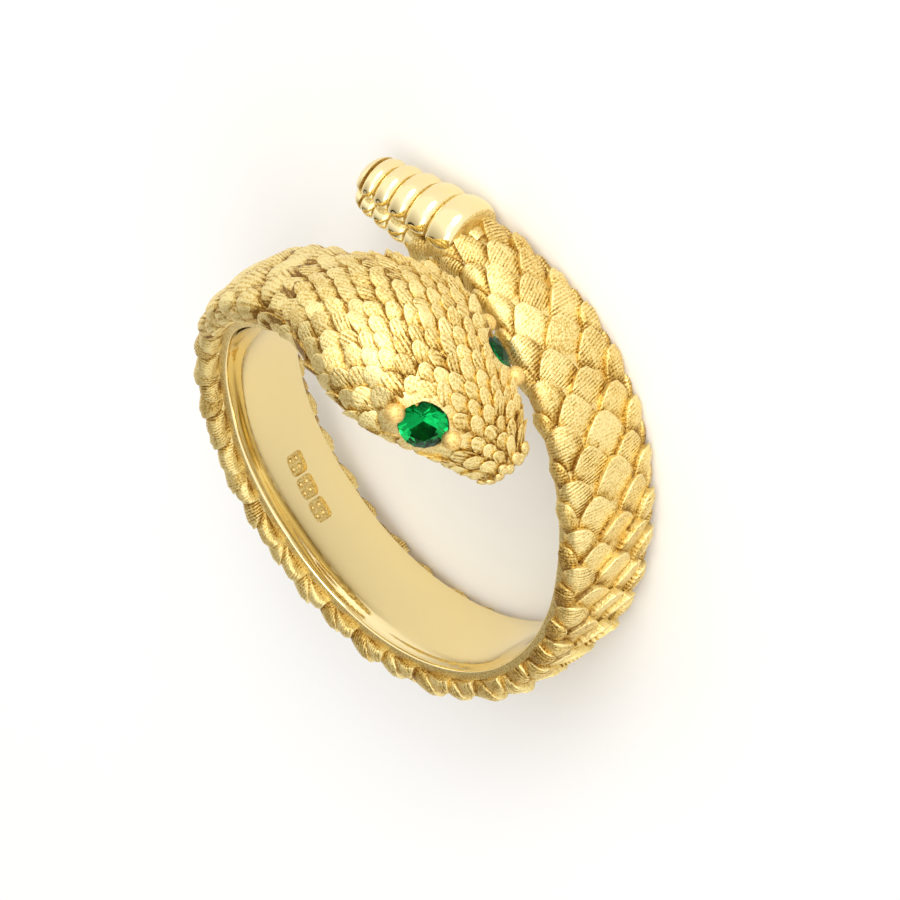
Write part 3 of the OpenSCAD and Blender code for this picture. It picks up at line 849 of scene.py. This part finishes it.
class SNAKERING_OT_head_scales(bpy.types.Operator):
    """Small leaf-shaped scales of the head"""

    bl_idname = "snake_ring.head_scales"
    bl_label = "Head scales"

    def execute(self, context):
        rows_at = (0, 0.25, 0.45, 0.62, 0.78, 0.9, 0.96, 1)
        master = master_scale(
            "head_scale", 6, rows_at, width=0.72, length=1.5, thickness=0.3, bevel=0.03, lip=0.016
        )
        rows = []
        for index, (turn, pitch, on_head) in enumerate(scale_rows()):
            if not on_head:
                continue
            for middle, half, span in row_centres(turn, True, index % 2):
                # Room is left round the stones, less of it on the brow's side
                away = float(from_eye(turn + pitch, middle))
                room = 0.12 if abs(middle) < EYE_ACROSS - 0.08 else 0.36
                if away < STONE_R + room:
                    continue
                # Lower near the stones, and flatter and plainer on the cheeks
                fade = min(1.0, 0.4 + (away - STONE_R - room) / 1.2)
                cheek = float(np.interp(abs(middle), [0.6, 0.75], [1, 0.55]))
                look = dict(
                    root=-0.4, belly=0.8, tip=2.05, level=1.0,
                    end=0.12, wide=0.98, blunt=1.8, bow=0.2,
                    lift=0.17 * fade * cheek, dome=0.03 * fade * cheek,
                    curl=0.03, loose=0.12 * fade, twist=9,
                    brow=1.0, radius=HEAD_R, shade=0.12,
                    outline=1.0, tone=0.2 * (1 - cheek), cut=0.45 * cheek,
                    line_angle=0.0, line_spread=40,
                    fan=0.5, stretch=0.6,
                )
                rows.append((turn, pitch, middle, half, span, look))
        piece = lay_scales("head_scales", master, rows, 5)
        bpy.data.objects.remove(master)
        finish_piece(piece, ["engraved_satin_yellow_gold"], 50)
        return {"FINISHED"}


# Marks inside the band: turn of the middle one in degrees, sizes in millimetres
MARK_TURN, MARK_L, MARK_W, MARK_DEPTH = 127.0, 1.05, 0.9, 0.12
MARK_CORNER, DOT_R, DOT_RAISED = 0.24, 0.125, 0.02


def at_mark(number):
    """Matrix in millimetres that puts a thing on the middle of one mark, Z into the metal."""
    turn = MARK_TURN + number * math.degrees(1.1 * MARK_L / BORE_R)
    side = float(along("side", np.array(MARK_TURN)))
    return rotation(-turn, "Y") @ Matrix.Translation((0, side, BORE_R))


class SNAKERING_OT_marks(bpy.types.Operator):
    """Three sunk frames inside the band, each with plain raised dots"""

    bl_idname = "snake_ring.marks"
    bl_label = "Marks"

    def execute(self, context):
        band = bpy.data.objects["band"]
        dots = []
        for number in (-1, 0, 1):
            nothing_selected()
            bpy.ops.mesh.primitive_cube_add(size=1, location=(0, 0, 0))
            cutter = context.object
            set_coordinates(cutter.data, coordinates(cutter.data) * [MARK_L, MARK_W, 2 * MARK_DEPTH])
            bpy.ops.object.mode_set(mode="EDIT")
            bpy.ops.mesh.select_mode(type="EDGE")
            bpy.ops.mesh.select_all(action="DESELECT")
            bpy.ops.object.mode_set(mode="OBJECT")
            for edge in cutter.data.edges:
                ends = [cutter.data.vertices[i].co for i in edge.vertices]
                edge.select = abs(ends[0].z - ends[1].z) > MARK_DEPTH
            bpy.ops.object.mode_set(mode="EDIT")
            bpy.ops.mesh.bevel(offset=MARK_CORNER, segments=5, affect="EDGES")
            bpy.ops.object.mode_set(mode="OBJECT")
            place = at_mark(number)
            put_on_ring(cutter, coordinates(cutter.data), place)
            cut_away(band, cutter)
            for x in (-MARK_L / 5, MARK_L / 5):
                for y in (-MARK_W / 5, MARK_W / 5):
                    nothing_selected()
                    bpy.ops.mesh.primitive_ico_sphere_add(subdivisions=3, radius=DOT_R)
                    dot = context.object
                    spot = place @ Matrix.Translation((x, y, MARK_DEPTH + DOT_RAISED))
                    put_on_ring(dot, coordinates(dot.data), spot)
                    dots.append(dot)
        finish_piece(joined("mark_dots", dots), ["blasted_matte_yellow_gold"], 60)
        return {"FINISHED"}


class SNAKERING_OT_lips(bpy.types.Operator):
    """Rounded scales along the lips and over the blunt snout"""

    bl_idname = "snake_ring.lips"
    bl_label = "Lip scales"

    def execute(self, context):
        rng = np.random.default_rng(3)
        nothing_selected()
        bpy.ops.mesh.primitive_ico_sphere_add(subdivisions=3, radius=1)
        bead = context.object
        base = coordinates(bead.data)
        # Turn, place across and half sizes of each: two rows along the jaws, then the snout's
        places = []
        turn = SNOUT_TURN + 1.0
        last_turn = EYE_TURN + 26
        while turn < last_turn:
            size = float(np.interp(turn, [SNOUT_TURN, EYE_TURN, last_turn], [0.26, 0.36, 0.4]))
            for across in (-0.9, 0.9):
                places.append((turn, across, size, size * 0.8, 0.15))
            turn += math.degrees(size * 1.75 / HEAD_R)
        for turn_off, acrosses in ((0.6, (-0.75, -0.5, -0.2, 0.1, 0.4, 0.7)), (1.5, (-0.32, 0, 0.3))):
            places += [(SNOUT_TURN + turn_off, a, 0.27, 0.27, 0.2) for a in acrosses]
        made = []
        for turn, across, long, wide, high in places:
            long, wide = long * rng.uniform(0.9, 1.1), wide * rng.uniform(0.9, 1.1)
            at, aside = np.array(turn), np.array(across)
            middle = skin(at, aside, brow(at, aside) - 0.04)
            ahead = skin(at + 0.5, aside, 0.0) - skin(at - 0.5, aside, 0.0)
            out = skin(at, aside, 0.3) - skin(at, aside, 0.0)
            ahead, out = ahead / np.linalg.norm(ahead), out / np.linalg.norm(out)
            side = np.cross(out, ahead)
            shape = base * [long, wide, high]
            bump = 1 + 0.05 * rng.normal(0, 1, (len(base), 1)).clip(-1, 1)
            moved = middle + np.outer(shape[:, 0], ahead) + np.outer(shape[:, 1], side)
            moved = moved + bump * np.outer(shape[:, 2], out)
            mesh = bead.data.copy()
            set_coordinates(mesh, laid_down(moved))
            copy = bpy.data.objects.new("lip_scales", mesh)
            context.collection.objects.link(copy)
            made.append(copy)
        bpy.data.objects.remove(bead)
        finish_piece(joined("lip_scales", made), ["blasted_matte_yellow_gold"], 60)
        return {"FINISHED"}


# Rattle: its segments and the length of each as a share of the one before, then in millimetres
# the depth of the seams and side grooves, how far its root reaches into the tail, how far it is
# lowered toward the finger, and where it is matte: below this height, deeper than this in a side
# groove and within this of a seam. The side grooves' width is in radians, its turns in degrees.
SEGMENTS = 6
GROWTH = 0.86
GROOVE = 0.46
RATTLE_ROOT = 0.5
RATTLE_LOW = 0.5
MATTE_FOOT, MATTE_GROOVE, MATTE_SEAM = 0.03, 0.3, 0.075
GROOVE_WIDE = 0.2
RATTLE_YAW, RATTLE_RISE = 2, 5


def segment_start(i):
    """Height in millimetres at which a segment of the rattle begins."""
    return RATTLE_L * (1 - GROWTH**i) / (1 - GROWTH**SEGMENTS)


def rattle_outline():
    """Points of the rattle's outline as radius and height, from its root to its tip."""
    points = [(0.0, -RATTLE_ROOT), (RATTLE_D * 0.22, -RATTLE_ROOT), (RATTLE_D * 0.25, -0.05)]
    tip = SEGMENTS - 1
    for i in range(tip):
        r = (RATTLE_D + (RATTLE_TIP_D - RATTLE_D) * i / tip) / 2
        length = segment_start(i + 1) - segment_start(i)
        for a in np.radians(np.linspace(0, 180, 17)):
            full = max(0.0, math.sin(a)) ** 0.7
            points.append((r - GROOVE * (1 - full), segment_start(i) + length * (1 - math.cos(a)) / 2))
    r = RATTLE_TIP_D / 2
    length = RATTLE_L - segment_start(tip)
    for a in np.radians(np.linspace(4, 90, 14)):
        points.append((r * math.cos(a) ** 0.9 if a < 1.57 else 0.0, RATTLE_L - length * (1 - math.sin(a))))
    return points


def lathe(name, outline, steps):
    """Solid turned round Z from an outline of radius and height."""
    nothing_selected()
    bpy.ops.mesh.primitive_plane_add(size=0.1, location=(0, 0, 0))
    piece = bpy.context.object
    piece.name = name
    piece.data.name = name
    bpy.ops.object.mode_set(mode="EDIT")
    bpy.ops.mesh.select_mode(type="VERT")
    bpy.ops.mesh.select_all(action="SELECT")
    bpy.ops.mesh.merge(type="CENTER")
    bpy.ops.transform.translate(value=(outline[0][0], 0, outline[0][1]))
    last = outline[0]
    for point in outline[1:]:
        bpy.ops.mesh.extrude_region_move(
            TRANSFORM_OT_translate={"value": (point[0] - last[0], 0, point[1] - last[1])}
        )
        last = point
    bpy.ops.mesh.select_all(action="SELECT")
    bpy.ops.mesh.spin(steps=steps, angle=2 * math.pi, center=(0, 0, 0), axis=(0, 0, 1))
    bpy.ops.mesh.select_all(action="SELECT")
    bpy.ops.mesh.remove_doubles(threshold=1e-4)
    bpy.ops.mesh.normals_make_consistent(inside=False)
    bpy.ops.object.mode_set(mode="OBJECT")
    return piece


class SNAKERING_OT_rattle(bpy.types.Operator):
    """Polished rattle of rounded segments, with a matte groove along each side"""

    bl_idname = "snake_ring.rattle"
    bl_label = "Rattle"

    def execute(self, context):
        piece = lathe("rattle", rattle_outline(), 96)
        points = coordinates(piece.data)
        radius = np.hypot(points[:, 0], points[:, 1])
        angle = np.arctan2(points[:, 1], points[:, 0])
        off_side = np.abs(np.abs(angle) - math.pi / 2)
        dent = np.exp(-((off_side / GROOVE_WIDE) ** 2)) * GROOVE * np.clip(radius / 0.8, 0, 1)
        dent *= np.clip((points[:, 2] + 0.05) / 0.1, 0, 1)
        points[:, 0] *= (radius - dent) / np.maximum(radius, 1e-6)
        points[:, 1] *= (radius - dent) / np.maximum(radius, 1e-6)
        placed = (
            rotation(-TAIL_TURN, "Y")
            @ Matrix.Translation((0, TAIL_STEP, BORE_R + RATTLE_D / 2 - RATTLE_LOW))
            @ rotation(RATTLE_YAW, "Z")
            @ rotation(RATTLE_RISE - 90, "Y")
        )
        put_on_ring(piece, points, placed)
        for face in piece.data.polygons:
            deep = np.mean([dent[i] for i in face.vertices])
            height = np.mean([points[i, 2] for i in face.vertices])
            seam = min(abs(height - segment_start(i)) for i in range(SEGMENTS))
            matte = height < MATTE_FOOT or deep > MATTE_GROOVE or seam < MATTE_SEAM
            face.material_index = int(matte)
        finish_piece(piece, ["mirror_polished_yellow_gold", "blasted_matte_yellow_gold"], 60)
        return {"FINISHED"}


class SNAKERING_OT_claws(bpy.types.Operator):
    """Four gold beads that hold the stones"""

    bl_idname = "snake_ring.claws"
    bl_label = "Claw beads"

    def execute(self, context):
        made = []
        for way in (-1, 1):
            for end in (-1, 1):
                nothing_selected()
                bpy.ops.mesh.primitive_ico_sphere_add(subdivisions=4, radius=CLAW_D * 0.43)
                bead = context.object
                # The lower half is drawn out into a foot that reaches into the band
                points = coordinates(bead.data)
                low = points[:, 2] < 0
                points[low, 2] *= 1.7
                points[low, :2] *= 0.9 + 0.1 * np.clip(1 + points[low, 2:3], 0, 1)
                placed = at_eye(way) @ rotation(-way * CLAW_TURN, "Z") @ Matrix.Translation(
                    (end * (STONE_R + CLAW_D * 0.28), 0, 0.03 * STONE_D + 0.1)
                )
                put_on_ring(bead, points, placed)
                made.append(bead)
        finish_piece(joined("claw_beads", made), ["tumbled_bead_yellow_gold"], 60)
        return {"FINISHED"}


class SNAKERING_OT_stones(bpy.types.Operator):
    """Finish of the two cut stones"""

    bl_idname = "snake_ring.stones"
    bl_label = "Stones"

    def execute(self, context):
        for name in ("eye_stone_near", "eye_stone_far"):
            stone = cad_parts[name]
            if not stone.material_slots:
                raise RuntimeError(f"{name} has no material slot")
            for slot in stone.material_slots:
                slot.material = material_of("faceted_green_emerald")
        return {"FINISHED"}


# The camera's directions as seen from the standing ring, and its place along them in millimetres
VIEW_RIGHT = Vector((0.719, 0.695, 0))
VIEW_UP = Vector((-0.447, 0.462, 0.766))
VIEW_FORWARD = Vector((-0.532, 0.551, -0.643))
VIEW_AWAY, VIEW_ASIDE, VIEW_ABOVE = 150, 1.136, 0.547
LENS_MM, SENSOR_MM = 142.6, 36
# Round soft lights: width in metres, power in watts, distance in metres, then azimuth and
# elevation in degrees
LIGHTS = (
    ("key", 0.3, 0.15, 0.45, -112, 42),
    ("low", 0.26, 0.85, 0.45, -106, 18),
    ("front", 0.3, 0.3, 0.5, -150, 60),
)
# The room is white all round but for one side, which gives the polish its warm and dark streaks:
# the direction of that side, and the room's colour by how squarely a ray points there
DARK_SIDE = (0.4, 0.46, 0.793)
ROOM = (
    (0.45, (1.0, 1.0, 1.0, 1)),
    (0.88, (0.45, 0.41, 0.35, 1)),
    (0.9, (0.03, 0.03 * 0.9, 0.03 * 0.75, 1)),
    (0.945, (0.03, 0.03 * 0.9, 0.03 * 0.75, 1)),
    (0.96, (0.5, 0.5 * 0.9, 0.5 * 0.75, 1)),
)


class SNAKERING_OT_stage(bpy.types.Operator):
    """Pale floor, soft light and the camera"""

    bl_idname = "snake_ring.stage"
    bl_label = "Stage"

    def execute(self, context):
        nothing_selected()
        bpy.ops.mesh.primitive_plane_add(size=6, location=(0, 0, FLOOR_LEVEL))
        floor = context.object
        floor.name = "floor"
        # Matte white card: it shows no reflection, only the soft shadow of the ring
        material, _, shader = new_material("pale_studio_floor", Base_Color=linear("#FAFAFA"), Roughness=0.9)
        shader.inputs["Specular IOR Level"].default_value = 0.0
        floor.data.materials.append(material)
        place = -VIEW_AWAY * VIEW_FORWARD + VIEW_ASIDE * VIEW_RIGHT + VIEW_ABOVE * VIEW_UP
        turned = Matrix((VIEW_RIGHT, VIEW_UP, -VIEW_FORWARD)).transposed().to_4x4()
        camera_data = bpy.data.cameras.new("camera")
        camera_data.lens = LENS_MM
        camera_data.sensor_width = SENSOR_MM
        camera_data.clip_start = 0.001
        camera = bpy.data.objects.new("camera", camera_data)
        camera.matrix_world = Matrix.Translation(LAID @ place * MM) @ LAID @ turned
        context.collection.objects.link(camera)
        context.scene.camera = camera
        for name, size, power, away, azimuth, elevation in LIGHTS:
            self.light(name, size, power, away, azimuth, elevation)
        context.scene.view_settings.view_transform = "Standard"
        self.surroundings(context)
        return {"FINISHED"}

    def light(self, name, size, power, away, azimuth, elevation):
        """Adds a round soft light that is aimed at the ring."""
        flat = away * math.cos(math.radians(elevation))
        place = (flat * math.cos(math.radians(azimuth)), flat * math.sin(math.radians(azimuth)),
                 away * math.sin(math.radians(elevation)))
        data = bpy.data.lights.new(name, "AREA")
        data.shape = "DISK"
        data.size = size
        data.energy = power
        lamp = bpy.data.objects.new(name, data)
        lamp.location = place
        lamp.rotation_euler = (-Vector(place)).to_track_quat("-Z", "Y").to_euler()
        bpy.context.collection.objects.link(lamp)

    def surroundings(self, context):
        """Gives the world the room's colours."""
        world = context.scene.world or bpy.data.worlds.new("studio")
        context.scene.world = world
        world.use_nodes = True
        tree = world.node_tree
        place = add_node(tree, "ShaderNodeTexCoord")
        toward = add_node(tree, "ShaderNodeVectorMath", {
            0: place.outputs["Generated"], 1: DARK_SIDE,
        }, operation="DOT_PRODUCT")
        ramp = add_node(tree, "ShaderNodeValToRGB", {"Fac": toward.outputs["Value"]}, ROOM)
        tree.links.new(ramp.outputs["Color"], tree.nodes["Background"].inputs["Color"])
        tree.nodes["Background"].inputs["Strength"].default_value = 1.2


class SnakeRingFinish(bpy.types.PropertyGroup):
    """Colours as sRGB hex values and the pitch of the engraved lines"""

    satin_gold: bpy.props.StringProperty(
        name="Satin gold", description="Colour of the engraved gold", default="#F4E2A2"
    )
    # Painted shade: the gold's colour in the cuts, pits and gaps, where shade falls
    shaded_gold: bpy.props.StringProperty(
        name="Shaded gold", description="Colour of the gold in recesses", default="#8A6226"
    )
    polished_gold: bpy.props.StringProperty(
        name="Polished gold", description="Colour of the polished gold", default="#F6E4AE"
    )
    stone_green: bpy.props.StringProperty(
        name="Stone green", description="Colour of the stones", default="#0A9A48"
    )
    line_pitch: bpy.props.FloatProperty(
        name="Line pitch", description="Distance between engraved lines",
        default=0.13 * MM, min=0.05 * MM, max=0.3 * MM, precision=5, unit="LENGTH",
    )


class SNAKERING_PT_panel(bpy.types.Panel):
    """Finishes and steps of the ring"""

    bl_idname = "SNAKERING_PT_panel"
    bl_label = "Snake wrap ring"
    bl_space_type = "VIEW_3D"
    bl_region_type = "UI"
    bl_category = "Snake ring"

    def draw(self, context):
        finish = context.scene.snake_ring_finish
        for name in ("satin_gold", "shaded_gold", "polished_gold", "stone_green", "line_pitch"):
            self.layout.prop(finish, name)
        for operator in OPERATORS:
            self.layout.operator(operator.bl_idname)


OPERATORS = (
    SNAKERING_OT_band,
    SNAKERING_OT_body_scales,
    SNAKERING_OT_head_scales,
    SNAKERING_OT_lips,
    SNAKERING_OT_marks,
    SNAKERING_OT_rattle,
    SNAKERING_OT_claws,
    SNAKERING_OT_stones,
    SNAKERING_OT_stage,
)
CLASSES = (SnakeRingFinish, *OPERATORS, SNAKERING_PT_panel)


def register():
    for cls in CLASSES:
        bpy.utils.register_class(cls)
    bpy.types.Scene.snake_ring_finish = bpy.props.PointerProperty(type=SnakeRingFinish)


def unregister():
    del bpy.types.Scene.snake_ring_finish
    for cls in reversed(CLASSES):
        bpy.utils.unregister_class(cls)


def main():
    register()
    bpy.ops.snake_ring.band()
    bpy.ops.snake_ring.body_scales()
    bpy.ops.snake_ring.head_scales()
    bpy.ops.snake_ring.lips()
    bpy.ops.snake_ring.marks()
    bpy.ops.snake_ring.rattle()
    bpy.ops.snake_ring.claws()
    bpy.ops.snake_ring.stones()
    bpy.ops.snake_ring.stage()


if __name__ == "__main__":
    main()
